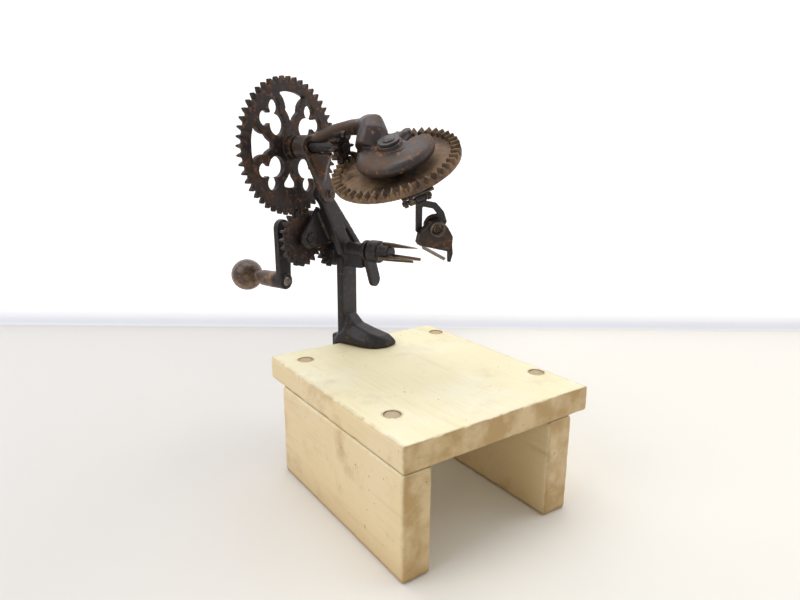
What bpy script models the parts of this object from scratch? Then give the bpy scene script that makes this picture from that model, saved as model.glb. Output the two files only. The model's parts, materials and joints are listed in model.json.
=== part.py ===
"""A hand-cranked turntable fruit parer clamped to a low painted wooden stand.

Units are metres. Three frames carry the pieces, each an empty:
  stand    X across the stand, Y towards its back, Z up, from the front left foot corner;
  machine  on the board's top at the post, X along the shafts, turned from the stand;
  train    at the fork shaft, leaning from the machine: X along the shafts, Z towards the wheel
           axle, so that the gear train and the turntable stand upright in it.
"""

import math

import bmesh
import bpy
from mathutils import Matrix, Vector

MM = 0.001
GAP = 0.3 * MM  # between pieces that touch
ACROSS = (math.pi / 2, 0, math.pi / 2)  # turns a shape's own Z onto the shafts' direction
ROUND = 32  # sides of a round piece
SMALL_ROUND = 20

# Stand
BOARD_WIDTH = 170 * MM
BOARD_DEPTH = 195.7 * MM
BOARD_THICK = 19.2 * MM
LEG_HEIGHT = 77 * MM
LEG_LENGTH = 174.1 * MM
LEFT_LEG_THICK = 22.4 * MM
RIGHT_LEG_THICK = 23.6 * MM
RIGHT_LEG_INSET = 16 * MM
WOOD_ROUNDING = 1.4 * MM
PLUG_RADIUS = 6 * MM
PLUG_DEPTH = 8 * MM
PLUG_LEFT_INSET = 21 * MM
PLUG_RIGHT_INSET = 10 * MM
PLUG_FRONT_INSET = 43 * MM
PLUG_BACK_INSET = 24 * MM

# Where the machine stands, and its lean
POST_FROM_LEFT = 76.1 * MM
POST_BEHIND_BOARD = 1.6 * MM
MACHINE_TURN = math.radians(-69.2)
LEAN = math.radians(29.2)
FORK_HEIGHT = 86.1 * MM

# Post, foot and clamp
POST_X = (-4.2 * MM, 2.5 * MM)
POST_Y = (-9 * MM, 12.5 * MM)
FOOT_LENGTH = 43 * MM
HEEL_LENGTH = 8 * MM
SPINE_X = (-12 * MM, -4.5 * MM)
SPINE_WIDTH = 16 * MM
CLAMP_OPENING = 27 * MM  # below the board's underside, to the jaw
JAW_THICK = 9 * MM
CLAMP_REACH = 22 * MM
SCREW_RADIUS = 4 * MM
PAD_RADIUS = 9 * MM
PAD_THICK = 3.4 * MM
WING_SPAN = 30 * MM
WING_HEIGHT = 11 * MM
WING_THICK = 4 * MM

# Gear train
MODULE = 2.17 * MM
PRESSURE_ANGLE = math.radians(20)
BACKLASH = 0.5 * MM
WHEEL_TEETH = 48
CRANK_TEETH = 21
FORK_TEETH = 15
AXLE_REACH = 98.8 * MM  # fork shaft to wheel axle
GEAR_X = -17 * MM
GEAR_THICK = 5 * MM
SHAFT_RADIUS = 3.5 * MM
SHAFT_HEAD = 5.6 * MM
TUBE_RADIUS = 6 * MM
FORK_TUBE = (-11 * MM, 27 * MM)
HUB_RADIUS = 9.5 * MM
HUB_OUTSIDE = 6 * MM

# Wheel openings
RIM_INNER = 42.5 * MM
SPOKE_CENTRE = 20.5 * MM
SPOKE_WIDTH = 6.5 * MM
SPOKE_TURN = math.radians(11.8)
OUTER_LOBES = (34.8 * MM, 5.6 * MM, math.radians(11))  # distance, radius, angle to each side
INNER_LOBE = (22.5 * MM, 8 * MM)
WEIGHT_INNER = 32 * MM  # the solid segment that balances the wheel starts here

# Crank
CRANK_LENGTH = 41 * MM
CRANK_ARM_X = (-43.5 * MM, -38 * MM)
CRANK_EYE = 7.6 * MM
CRANK_HEEL = 6 * MM  # the arm's rounded end beyond its shaft
CRANK_BOSS_X = -48.5 * MM
SPINDLE_RADIUS = 2.4 * MM
KNOB_RADIUS = 14.4 * MM
KNOB_NECK = 4.6 * MM
KNOB_COLLAR = 7.4 * MM
COLLAR_LENGTH = 19.4 * MM
NECK_LENGTH = 6 * MM
EAR_X = (-12 * MM, -7 * MM)
EAR_BOSS = 9 * MM

# Turntable
TURN_TEETH = 44
PINION_TEETH = 10
TURN_X = 82.2 * MM
TURN_RADIUS = 48.6 * MM
CROWN_PITCH_RADIUS = 47.7 * MM
CROWN_INNER = 41.5 * MM
CROWN_ADDENDUM = 2.24 * MM
CROWN_DEPTH = 4.5 * MM
CROWN_SLOPE = math.radians(22)
CROWN_THIN = 0.5 * MM
PINION_TIP = 12.5 * MM
PINION_FACE = (33.9 * MM, 39.3 * MM)
TURN_THICK = 2.5 * MM
PIVOT_RADIUS = 3.7 * MM
PIVOT_HEAD = 7 * MM
PIVOT_HEAD_THICK = 3 * MM

# Leaning bars and over-arm
BAR_X = (-4 * MM, 3 * MM)
FRONT_BAR_Y = (-9 * MM, 5 * MM)
BACK_BAR_Y = (12 * MM, 18 * MM)
BAR_TOP = 62 * MM
JOINT_PLACE = (-0.8 * MM, 57.2 * MM)  # the rivet that holds the over-arm's plate
JOINT_RADIUS = 8 * MM
PLATE_X = (3.3 * MM, 7.3 * MM)
AXLE_BOSS = (-6 * MM, 6 * MM)
AXLE_BOSS_RADIUS = 9.5 * MM
CAM_CENTRE = (3 * MM, -1 * MM)  # from the pivot
CAM_RADIUS = 29.5 * MM
CAM_HEIGHTS = (1.2 * MM, 10 * MM)  # from the crown's tooth tops
CAM_EDGE = 3 * MM
SEAT_TOP = 13.6 * MM
SEAT_RADIUS = 9.6 * MM
WASHER_RADIUS = 8 * MM
WASHER_THICK = 1.5 * MM
RIVET_HEAD = 4.6 * MM
STOP_PLACE = (-5 * MM, 29.5 * MM)
STOP_RADIUS = 4 * MM
STOP_TOP = 7.5 * MM
ARM_PATH = (  # place from the pivot at the tooth tops, and half the thickness, in millimetres
    (-82.2, 5, 9.6, 5.6),
    (-72, 9, 11, 5.5),
    (-62, 15.5, 13.4, 5.6),
    (-48, 20.6, 14.4, 5.8),
    (-38, 20.4, 15, 6.2),
    (-30, 18.6, 17, 7.8),
    (-24, 16, 17.4, 9.6),
    (-21.5, 12, 14.4, 11.2),
    (-21.5, 6.5, 9.4, 11.8),
    (-22, 0.5, 6, 10.4),
)

# Fork
FLANGE_RADIUS = 9.6 * MM
FLANGE_X = (27.5 * MM, 38.5 * MM)
HEAD_RADIUS = 7 * MM
HEAD_END = 49 * MM
PRONG_ANGLES = tuple(math.radians(angle) - LEAN for angle in (90, 210, 330))
PRONG_TIP = 75 * MM
PRONG_RADII = (4.6 * MM, 8.8 * MM)
PRONG_THICK = 2.6 * MM
LEVER_X = (22 * MM, 26 * MM)
LEVER_LENGTH = 29 * MM
LEVER_WIDTH = 12.4 * MM
LEVER_EYE = 9 * MM
LEVER_ANGLE = math.radians(-70) - LEAN

# Knife, in the knife frame: X outward from the pivot, Y along the rim, Z up from the tooth tops
KNIFE_ANGLE = math.radians(-43)
KNIFE_REACH = 46.5 * MM
HINGE_DROP = 11.7 * MM
PIN_RADIUS = 1.6 * MM
LUG_RADIUS = 3 * MM
STRIP_THICK = 2.2 * MM
STRIP_WIDTH = 4.6 * MM
HEAD_PIVOT = (6.5 * MM, -34.5 * MM)
HEAD_BOSS = 7.4 * MM
HOOD_THICK = 5 * MM
HEAD_RIVET = 2 * MM
BLADE_WIDTH = 2.4 * MM
BLADE_THICK = 1.2 * MM
WIRE_RADIUS = 0.55 * MM

IRON = ((0.035, 0.028, 0.026), 0.55, 0.75)
RUST = ((0.10, 0.055, 0.035), 0.75, 0.35)
STEEL = ((0.25, 0.21, 0.16), 0.4, 0.9)
VARNISH = ((0.16, 0.08, 0.035), 0.4, 0.0)
PAINT = ((0.86, 0.79, 0.58), 0.5, 0.0)
PLUG = ((0.42, 0.36, 0.28), 0.6, 0.2)


def clear_scene():
    for obj in list(bpy.data.objects):
        bpy.data.objects.remove(obj, do_unlink=True)


def new_collection(name):
    collection = bpy.data.collections.new(name)
    bpy.context.scene.collection.children.link(collection)
    return collection


def finish_of(name, finish):
    """A Principled material of this colour, roughness and metallic value."""
    colour, roughness, metallic = finish
    material = bpy.data.materials.new(name)
    material.use_nodes = True
    shader = material.node_tree.nodes["Principled BSDF"]
    shader.inputs["Base Color"].default_value = (*colour, 1)
    shader.inputs["Roughness"].default_value = roughness
    shader.inputs["Metallic"].default_value = metallic
    return material


def empty(name, parent, place=(0, 0, 0), turn=(0, 0, 0)):
    obj = bpy.data.objects.new(name, None)
    FRAMES.objects.link(obj)
    obj.parent = parent
    obj.location = place
    obj.rotation_euler = turn
    return obj


def piece(name, mesh, parent, finish, place=(0, 0, 0), turn=(0, 0, 0)):
    """A node: the mesh as an object of its own, with its own material."""
    obj = bpy.data.objects.new(name, mesh)
    PARTS.objects.link(obj)
    obj.parent = parent
    obj.location = place
    obj.rotation_euler = turn
    mesh.materials.append(finish_of(name, finish))
    mesh.shade_smooth()
    mesh.set_sharp_from_angle(angle=math.radians(35))
    return obj


def helper(mesh, parent, place=(0, 0, 0), turn=(0, 0, 0)):
    """A shape that a Boolean joins or cuts, which is no node itself."""
    obj = bpy.data.objects.new("helper", mesh)
    CUTTERS.objects.link(obj)
    obj.parent = parent
    obj.location = place
    obj.rotation_euler = turn
    obj.hide_render = True
    obj.display_type = "WIRE"
    return obj


def boolean(obj, operation, others):
    for other in others:
        modifier = obj.modifiers.new(operation.title(), "BOOLEAN")
        modifier.operation = operation
        modifier.solver = "EXACT"
        modifier.object = other


def join(obj, *others):
    boolean(obj, "UNION", others)


def cut(obj, *others):
    boolean(obj, "DIFFERENCE", others)


def mesh_of(bm, name="mesh"):
    bmesh.ops.recalc_face_normals(bm, faces=bm.faces)
    mesh = bpy.data.meshes.new(name)
    bm.to_mesh(mesh)
    bm.free()
    return mesh


def block(low, high, rounding=0.0):
    """A box between two corners, with its edges rounded."""
    low, high = Vector(low), Vector(high)
    bm = bmesh.new()
    bmesh.ops.create_cube(bm, size=1)
    bmesh.ops.scale(bm, vec=high - low, verts=bm.verts)
    bmesh.ops.translate(bm, vec=(low + high) / 2, verts=bm.verts)
    if rounding:
        bmesh.ops.bevel(bm, geom=bm.edges, offset=rounding, segments=2, affect="EDGES", profile=0.5)
    return mesh_of(bm)


def drum(radius, start, end, sides=ROUND):
    """A cylinder or cone frustum about Z, from start to end."""
    bm = bmesh.new()
    bmesh.ops.create_cone(
        bm, cap_ends=True, segments=sides, radius1=radius, radius2=radius, depth=end - start
    )
    bmesh.ops.translate(bm, vec=(0, 0, (start + end) / 2), verts=bm.verts)
    return mesh_of(bm)


def plate(outline, start, end):
    """A flat outline in XY, from start to end along Z."""
    curve = bpy.data.curves.new("outline", "CURVE")
    curve.dimensions = "2D"
    curve.fill_mode = "BOTH"
    curve.extrude = (end - start) / 2
    spline = curve.splines.new("POLY")
    spline.points.add(len(outline) - 1)
    for point, (x, y) in zip(spline.points, outline):
        point.co = (x, y, 0, 1)
    spline.use_cyclic_u = True
    guide = bpy.data.objects.new("outline", curve)
    bpy.context.scene.collection.objects.link(guide)
    bpy.context.view_layer.update()
    shape = bpy.data.meshes.new_from_object(guide.evaluated_get(bpy.context.evaluated_depsgraph_get()))
    bpy.data.objects.remove(guide)
    bm = bmesh.new()
    bm.from_mesh(shape)
    bmesh.ops.remove_doubles(bm, verts=bm.verts, dist=0.001 * MM)
    bmesh.ops.translate(bm, vec=(0, 0, (start + end) / 2), verts=bm.verts)
    return mesh_of(bm)


def turned(profile, sides=ROUND):
    """A profile of (radius, height) points, outer side from top to bottom, turned about Z."""
    bm = bmesh.new()
    points = [bm.verts.new((radius, 0, height)) for radius, height in profile]
    edges = [bm.edges.new(pair) for pair in zip(points, points[1:])]
    bmesh.ops.spin(
        bm, geom=points + edges, axis=(0, 0, 1), cent=(0, 0, 0), angle=math.tau, steps=sides, use_merge=True
    )
    bmesh.ops.remove_doubles(bm, verts=bm.verts, dist=0.001 * MM)
    return mesh_of(bm)


def loft(sections):
    """A closed body through rings of points, capped at both ends."""
    bm = bmesh.new()
    rings = [[bm.verts.new(point) for point in section] for section in sections]
    for ring, following in zip(rings, rings[1:]):
        for i, vertex in enumerate(ring):
            j = (i + 1) % len(ring)
            bm.faces.new((vertex, ring[j], following[j], following[i]))
    bm.faces.new(rings[0])
    bm.faces.new(rings[-1])
    bmesh.ops.triangulate(bm, faces=bm.faces)
    return mesh_of(bm)


def oval(centre, side, up, count=14, power=2.6):
    """A ring of a rounded-rectangle section: side and up are its half axes."""
    points = []
    for i in range(count):
        angle = math.tau * (i + 0.5) / count
        across = math.copysign(abs(math.cos(angle)) ** (2 / power), math.cos(angle))
        along = math.copysign(abs(math.sin(angle)) ** (2 / power), math.sin(angle))
        points.append(Vector(centre) + Vector(side) * across + Vector(up) * along)
    return points


def coil(radius, wire, pitch, turns):
    """A wire coil about Z as a mesh tube."""
    curve = bpy.data.curves.new("coil", "CURVE")
    curve.dimensions = "3D"
    curve.bevel_depth = wire
    curve.bevel_resolution = 1
    curve.use_fill_caps = True
    count = round(turns * 12) + 1
    spline = curve.splines.new("POLY")
    spline.points.add(count - 1)
    for i, point in enumerate(spline.points):
        angle = math.tau * i / 12
        point.co = (radius * math.cos(angle), radius * math.sin(angle), pitch * i / 12, 1)
    guide = bpy.data.objects.new("coil", curve)
    bpy.context.scene.collection.objects.link(guide)
    bpy.context.view_layer.update()
    shape = bpy.data.meshes.new_from_object(guide.evaluated_get(bpy.context.evaluated_depsgraph_get()))
    bpy.data.objects.remove(guide)
    bm = bmesh.new()
    bm.from_mesh(shape)
    bmesh.ops.remove_doubles(bm, verts=bm.verts, dist=0.001 * MM)
    return mesh_of(bm)


def polar(radius, angle):
    return (radius * math.cos(angle), radius * math.sin(angle))


def arc(centre, radius, start, end, count):
    steps = [start + (end - start) * i / (count - 1) for i in range(count)]
    return [(centre[0] + radius * math.cos(a), centre[1] + radius * math.sin(a)) for a in steps]


def link_outline(first, first_radius, second, second_radius, count=12):
    """The outline of a bar with two round ends."""
    along = math.atan2(second[1] - first[1], second[0] - first[0])
    half = math.pi / 2
    return arc(first, first_radius, along + half, along + 3 * half, count) + arc(
        second, second_radius, along - half, along + half, count
    )


def involute(angle):
    return math.tan(angle) - angle


def pitch_radius(teeth):
    return MODULE * teeth / 2


def gear_outline(teeth, pitch, tip, root, thinning, phase=0.0):
    """Involute teeth about the origin, the first centred on the angle phase."""
    base = pitch * math.cos(PRESSURE_ANGLE)
    at_pitch = math.pi / (2 * teeth) - thinning / (2 * pitch)
    flank = []
    for radius in (root, pitch, tip):
        slope = math.acos(min(1, base / radius))
        flank.append((radius, at_pitch + involute(PRESSURE_ANGLE) - involute(slope)))
    outline = []
    for i in range(teeth):
        middle = phase + math.tau * i / teeth
        outline += [polar(radius, middle - half) for radius, half in flank]
        outline += [polar(radius, middle + half) for radius, half in reversed(flank)]
    return outline


def spur(teeth, phase, start, end):
    pitch = pitch_radius(teeth)
    outline = gear_outline(teeth, pitch, pitch + MODULE, pitch - 1.2 * MODULE, BACKLASH, phase)
    return plate(outline, start, end)


def crank_place():
    """The crank shaft in the train frame, where its gear meets the wheel and the fork pinion."""
    to_axle = pitch_radius(WHEEL_TEETH + CRANK_TEETH)
    to_fork = pitch_radius(CRANK_TEETH + FORK_TEETH)
    up = (to_fork**2 - to_axle**2 + AXLE_REACH**2) / (2 * AXLE_REACH)
    return -math.sqrt(to_fork**2 - up**2), up


def meshing_phase(teeth, phase, other_teeth, towards):
    """The phase of a gear that meets one of this phase, in the direction from the one to the other."""
    return towards + math.pi - (teeth / other_teeth) * (phase - towards) - math.pi / other_teeth


def make_stand(stand):
    top = LEG_HEIGHT + BOARD_THICK
    board = piece(
        "stand_board", block((0, 0, LEG_HEIGHT), (BOARD_WIDTH, BOARD_DEPTH, top), WOOD_ROUNDING), stand, PAINT
    )
    legs = {
        "left_leg": (0, LEFT_LEG_THICK),
        "right_leg": (BOARD_WIDTH - RIGHT_LEG_INSET - RIGHT_LEG_THICK, BOARD_WIDTH - RIGHT_LEG_INSET),
    }
    for name, (left, right) in legs.items():
        piece(name, block((left, 0, 0), (right, LEG_LENGTH, LEG_HEIGHT - GAP), WOOD_ROUNDING), stand, PAINT)
    rows = {"front": PLUG_FRONT_INSET, "back": BOARD_DEPTH - PLUG_BACK_INSET}
    columns = {"left": PLUG_LEFT_INSET, "right": BOARD_WIDTH - PLUG_RIGHT_INSET}
    for row, y in rows.items():
        for column, x in columns.items():
            place = (x, y, top - PLUG_DEPTH)
            cut(board, helper(drum(PLUG_RADIUS + GAP, -GAP, PLUG_DEPTH + GAP), stand, place))
            piece(f"plug_{row}_{column}", drum(PLUG_RADIUS, 0, PLUG_DEPTH), stand, PLUG, place)


def foot_mesh():
    """A shoe that narrows from the post to the toe: rings across it, along X."""
    stations = (  # share of the length, near side, far side, height
        (-1.0, -10, 9, 5),
        (-0.45, -10.8, 11, 13),
        (0.12, -10.8, 12, 27),
        (0.3, -10.4, 14, 18),
        (0.62, -10, 18, 13),
        (0.86, -6, 19.5, 10),
        (1.0, 3, 17, 6),
    )
    rings = []
    for share, near, far, height in stations:
        x = share * (FOOT_LENGTH if share > 0 else HEEL_LENGTH)
        near, far, height = near * MM, far * MM, height * MM
        inset = 0.22 * (far - near)
        rings.append(
            [
                (x, near, GAP),
                (x, far, GAP),
                (x, far, 0.45 * height),
                (x, far - inset, height),
                (x, near + inset, height),
                (x, near, 0.45 * height),
            ]
        )
    return loft(rings)


def bar_mesh(base_y, heights, top_y, span_x):
    """A straight bar that leans and tapers between two heights, its faces square to the shafts."""
    rings = []
    for (near, far), z in ((base_y, heights[0]), (top_y, heights[1])):
        rings.append([(x, y, z) for x, y in zip(span_x + span_x[::-1], (near, near, far, far))])
    return loft(rings)


def make_main_frame(machine, train):
    """Post, foot, clamp jaw, fork bearing, leaning bars and crank ear, cast in one."""
    jaw_top = -BOARD_THICK - CLAMP_OPENING
    jaw_bottom = jaw_top - JAW_THICK
    half = SPINE_WIDTH / 2
    crank_y, crank_z = crank_place()
    joint_y, joint_z = JOINT_PLACE
    bar_end = (joint_y - 6.4 * MM, joint_y + 6.4 * MM)
    frame = piece(
        "main_frame",
        block((POST_X[0], POST_Y[0], 2 * MM), (POST_X[1], POST_Y[1], FORK_HEIGHT - 7 * MM), 1 * MM),
        machine,
        IRON,
    )
    ear = (
        [(FRONT_BAR_Y[0] + 5 * MM, crank_z + 17 * MM)]
        + arc((crank_y, crank_z), EAR_BOSS, 1.9, 4.6, 10)
        + [(FRONT_BAR_Y[0] + 5 * MM, crank_z - 19 * MM)]
    )
    web = [
        (FRONT_BAR_Y[0] + 2 * MM, 0),
        (BACK_BAR_Y[1] - 2 * MM, -2 * MM),
        (FRONT_BAR_Y[1] + 2 * MM, BAR_TOP - 9 * MM),
        (joint_y - 3 * MM, BAR_TOP - 4 * MM),
    ]
    join(
        frame,
        helper(foot_mesh(), machine),
        helper(block((SPINE_X[0], -half, jaw_bottom), (SPINE_X[1], half, 7 * MM), 1.5 * MM), machine),
        helper(
            block(
                (SPINE_X[0] + 0.5 * MM, 0.7 * MM - half, jaw_bottom + 0.4 * MM),
                (CLAMP_REACH, half - 0.7 * MM, jaw_top),
                1.5 * MM,
            ),
            machine,
        ),
        helper(drum(half + 1 * MM, jaw_bottom - 1 * MM, jaw_top + 1 * MM), machine, (CLAMP_REACH, 0, 0)),
        helper(
            block(
                (FORK_TUBE[0], -5 * MM, FORK_HEIGHT - 16 * MM),
                (LEVER_X[0] - 1 * MM, 5.4 * MM, FORK_HEIGHT - 3 * MM),
                2 * MM,
            ),
            machine,
        ),
        helper(drum(TUBE_RADIUS, *FORK_TUBE), train, turn=ACROSS),
        helper(bar_mesh(FRONT_BAR_Y, (-4 * MM, joint_z), bar_end, BAR_X), train),
        helper(bar_mesh(BACK_BAR_Y, (-10 * MM, joint_z - 6 * MM), (1 * MM, 6 * MM), BAR_X), train),
        helper(plate(web, BAR_X[0] + 2 * MM, BAR_X[1] - 2.6 * MM), train, turn=ACROSS),
        helper(drum(JOINT_RADIUS, BAR_X[0] - 0.4 * MM, PLATE_X[0] - GAP), train, (0, *JOINT_PLACE), ACROSS),
        helper(plate(ear, EAR_X[0] + 0.6 * MM, EAR_X[1] - 0.4 * MM), train, turn=ACROSS),
        helper(drum(EAR_BOSS - 1 * MM, *EAR_X), train, (0, crank_y, crank_z), ACROSS),
        helper(
            block(
                (EAR_X[0] + 0.8 * MM, FRONT_BAR_Y[0] + 1.2 * MM, crank_z - 15 * MM),
                (BAR_X[0] + 1 * MM, 1 * MM, crank_z + 14 * MM),
                1.5 * MM,
            ),
            train,
        ),
    )
    bore = SHAFT_RADIUS + GAP
    cut(
        frame,
        helper(drum(bore, FORK_TUBE[0] - 5 * MM, FORK_TUBE[1] + 5 * MM), train, turn=ACROSS),
        helper(drum(bore, EAR_X[0] - 5 * MM, EAR_X[1] + 2 * MM), train, (0, crank_y, crank_z), ACROSS),
        helper(drum(HEAD_RIVET + GAP, -9 * MM, 9 * MM), train, (0, *JOINT_PLACE), ACROSS),
        helper(
            drum(SCREW_RADIUS + GAP, jaw_bottom - 5 * MM, jaw_top + 5 * MM), machine, (CLAMP_REACH, 0, 0)
        ),
    )


def tube_along(path):
    """A smooth solid that follows places, each with half its thickness."""
    places = [Vector(place[:3]) for place in path]
    rings = []
    side = Vector((0, 1, 0))
    for i, place in enumerate(places):
        along = (places[min(i + 1, len(places) - 1)] - places[max(i - 1, 0)]).normalized()
        side = (side - along * side.dot(along)).normalized()
        size = path[i][3] * MM
        rings.append(oval(place * MM, side * size, along.cross(side) * size))
    return loft(rings)


def cam_disc():
    """The round cam on the over-arm's foot, with rounded edges."""
    low, high = CAM_HEIGHTS
    profile = [
        (0, high),
        (CAM_RADIUS - CAM_EDGE * 2, high),
        (CAM_RADIUS - CAM_EDGE, high - CAM_EDGE * 0.2),
        (CAM_RADIUS - CAM_EDGE * 0.3, high - CAM_EDGE * 0.8),
        (CAM_RADIUS, high - CAM_EDGE * 1.6),
        (CAM_RADIUS - CAM_EDGE * 0.2, low + CAM_EDGE * 0.4),
        (CAM_RADIUS - CAM_EDGE * 0.6, low),
        (0, low),
    ]
    return turned(profile, 40)


def make_over_arm(train, pivot):
    """The upper casting: its plate, axle boss, arm and leg, and the cam that it ends in."""
    joint_z = JOINT_PLACE[1]
    reach = AXLE_BOSS_RADIUS - 0.5 * MM
    arm = piece("over_arm", drum(AXLE_BOSS_RADIUS, *AXLE_BOSS), train, RUST, (0, 0, AXLE_REACH), ACROSS)
    tongue = [(reach, AXLE_REACH), (-reach, AXLE_REACH)] + arc(
        JOINT_PLACE, JOINT_RADIUS, math.pi, math.tau, 10
    )
    gusset = [
        (PLATE_X[0] + 0.3 * MM, joint_z + 6 * MM),
        (16 * MM, AXLE_REACH - 17 * MM),
        (26 * MM, AXLE_REACH - 5 * MM),
        (24 * MM, AXLE_REACH - 4.4 * MM),
        (PLATE_X[0] + 0.3 * MM, AXLE_REACH - 4 * MM),
    ]
    notch = [
        (9.5 * MM, 9 * MM),
        (11.5 * MM, 15 * MM),
        (18 * MM, 21 * MM),
        (24 * MM, 34 * MM),
        (-2 * MM, 36 * MM),
        (-2 * MM, 11 * MM),
    ]
    web = [(-20 * MM, 2 * MM), (-1 * MM, 9 * MM), (-1 * MM, 32 * MM), (-9 * MM, 33 * MM), (-21 * MM, 16 * MM)]
    cam = helper(cam_disc(), pivot, (*CAM_CENTRE, 0))
    cut(cam, helper(plate(notch, -5 * MM, 20 * MM), pivot))
    low = CAM_HEIGHTS[0]
    join(
        arm,
        helper(plate(tongue, *PLATE_X), train, turn=ACROSS),
        helper(plate(gusset, -1 * MM, 4 * MM), train, turn=(math.pi / 2, 0, 0)),
        helper(tube_along(ARM_PATH), pivot),
        cam,
        helper(plate(web, low + 0.1 * MM, low + 3 * MM), pivot),
        helper(drum(STOP_RADIUS, low + 0.2 * MM, STOP_TOP, SMALL_ROUND), pivot, (*STOP_PLACE, 0)),
        helper(drum(SEAT_RADIUS, low + 0.3 * MM, SEAT_TOP - 0.2 * MM), pivot),
    )
    cut(
        arm,
        helper(drum(SHAFT_RADIUS + GAP, -20 * MM, 20 * MM), train, (0, 0, AXLE_REACH), ACROSS),
        helper(drum(WASHER_RADIUS + 1 * MM, SEAT_TOP, 45 * MM), pivot),
        helper(drum(PIVOT_RADIUS + GAP, -10 * MM, 45 * MM), pivot),
        helper(drum(HEAD_RIVET + GAP, -9 * MM, 15 * MM), train, (0, *JOINT_PLACE), ACROSS),
    )
    head, tail = PLATE_X[1] + GAP, BAR_X[0] - 0.4 * MM - GAP
    rivet = [
        (0, head + 3 * MM),
        (2.4 * MM, head + 2.7 * MM),
        (4 * MM, head),
        (HEAD_RIVET, head),
        (HEAD_RIVET, tail),
        (4 * MM, tail),
        (2.6 * MM, tail - 2.4 * MM),
        (0, tail - 2.8 * MM),
    ]
    piece("frame_rivet", turned(rivet, SMALL_ROUND), train, IRON, (0, *JOINT_PLACE), ACROSS)


def make_pivot(pivot):
    """The rivet that the turntable turns on, and the washer under its peened end."""
    under = -CROWN_DEPTH - TURN_THICK - GAP
    seat = SEAT_TOP + GAP
    washer = piece("pivot_washer", drum(WASHER_RADIUS, seat, seat + WASHER_THICK, 24), pivot, STEEL)
    cut(washer, helper(drum(PIVOT_RADIUS + GAP, 0, 40 * MM), pivot))
    top = seat + WASHER_THICK + GAP
    profile = [
        (0, top + 1.6 * MM),
        (RIVET_HEAD * 0.6, top + 1.4 * MM),
        (RIVET_HEAD, top + 0.4 * MM),
        (RIVET_HEAD, top),
        (PIVOT_RADIUS, top),
        (PIVOT_RADIUS, under),
        (PIVOT_HEAD, under),
        (PIVOT_HEAD, under - PIVOT_HEAD_THICK * 0.6),
        (PIVOT_HEAD * 0.6, under - PIVOT_HEAD_THICK),
        (0, under - PIVOT_HEAD_THICK),
    ]
    piece("pivot_rivet", turned(profile, 24), pivot, STEEL)


def opening_half_angle(radius):
    """How far an opening between two trefoils reaches to each side of its middle, at this radius."""
    quarter = math.pi / 4
    limits = [quarter]
    distance, lobe, spread = OUTER_LOBES
    for centre, size, angle in ((distance, lobe, quarter - spread), (*INNER_LOBE, quarter)):
        reach = size + SPOKE_WIDTH
        cosine = (radius**2 + centre**2 - reach**2) / (2 * radius * centre)
        if abs(cosine) < 1:
            limits.append(angle - math.acos(cosine))
    return min(limits)


def opening_outline(middle, outer):
    """An opening between two trefoils, from the centre web out to this radius."""
    steps = 9
    radii = [SPOKE_CENTRE + (outer - SPOKE_CENTRE) * i / (steps - 1) for i in range(steps)]
    right = [polar(radius, middle - opening_half_angle(radius)) for radius in radii]
    left = [polar(radius, middle + opening_half_angle(radius)) for radius in radii]
    half = opening_half_angle(outer)
    top = arc((0, 0), outer, middle - half, middle + half, 8)[1:-1]
    return right + top + left[::-1]


def make_wheel(wheel_axis):
    low, high = GEAR_X - GEAR_THICK / 2, GEAR_X + GEAR_THICK / 2
    wheel = piece("main_wheel", spur(WHEEL_TEETH, 0, low, high), wheel_axis, RUST, turn=ACROSS)
    across = dict(parent=wheel_axis, turn=ACROSS)
    distance, lobe, spread = OUTER_LOBES
    cutters = []
    for quarter in range(4):
        middle = SPOKE_TURN + quarter * math.pi / 2
        lobes = ((distance, lobe, middle - spread), (distance, lobe, middle + spread), (*INNER_LOBE, middle))
        for radius, size, angle in lobes:
            _, y, z = (0, *polar(radius, angle))
            shape = drum(size, low - 5 * MM, high + 5 * MM, 24)
            cutters.append(helper(shape, wheel_axis, (0, y, z), ACROSS))
        between = [polar(radius, angle) for radius, _, angle in lobes]
        cutters.append(helper(plate(between, low - 5 * MM, high + 5 * MM), **across))
        outer = WEIGHT_INNER if quarter == 2 else RIM_INNER
        outline = opening_outline(middle + math.pi / 4, outer)
        cutters.append(helper(plate(outline, low - 5 * MM, high + 5 * MM), **across))
    cut(wheel, *cutters)
    join(wheel, helper(drum(HUB_RADIUS, low - 1.5 * MM, high + HUB_OUTSIDE), **across))
    cut(wheel, helper(drum(SHAFT_RADIUS + GAP, low - 5 * MM, high + 12 * MM), **across))
    axle_start = low - 1.5 * MM - GAP
    profile = [
        (0, PINION_FACE[1] + 1.5 * MM),
        (SHAFT_RADIUS, PINION_FACE[1] + 1.5 * MM),
        (SHAFT_RADIUS, axle_start),
        (SHAFT_HEAD, axle_start),
        (SHAFT_HEAD * 0.6, axle_start - 3 * MM),
        (0, axle_start - 3 * MM),
    ]
    piece("wheel_axle", turned(profile), wheel_axis, IRON, turn=ACROSS)
    pitch = CROWN_PITCH_RADIUS * PINION_TEETH / TURN_TEETH
    outline = gear_outline(
        PINION_TEETH, pitch, PINION_TIP, pitch - CROWN_ADDENDUM - 0.5 * MM, CROWN_THIN * 2, -math.pi / 2
    )
    pinion = piece("axle_pinion", plate(outline, *PINION_FACE), wheel_axis, RUST, turn=ACROSS)
    cut(pinion, helper(drum(SHAFT_RADIUS + GAP, 0, 60 * MM), **across))


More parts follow.
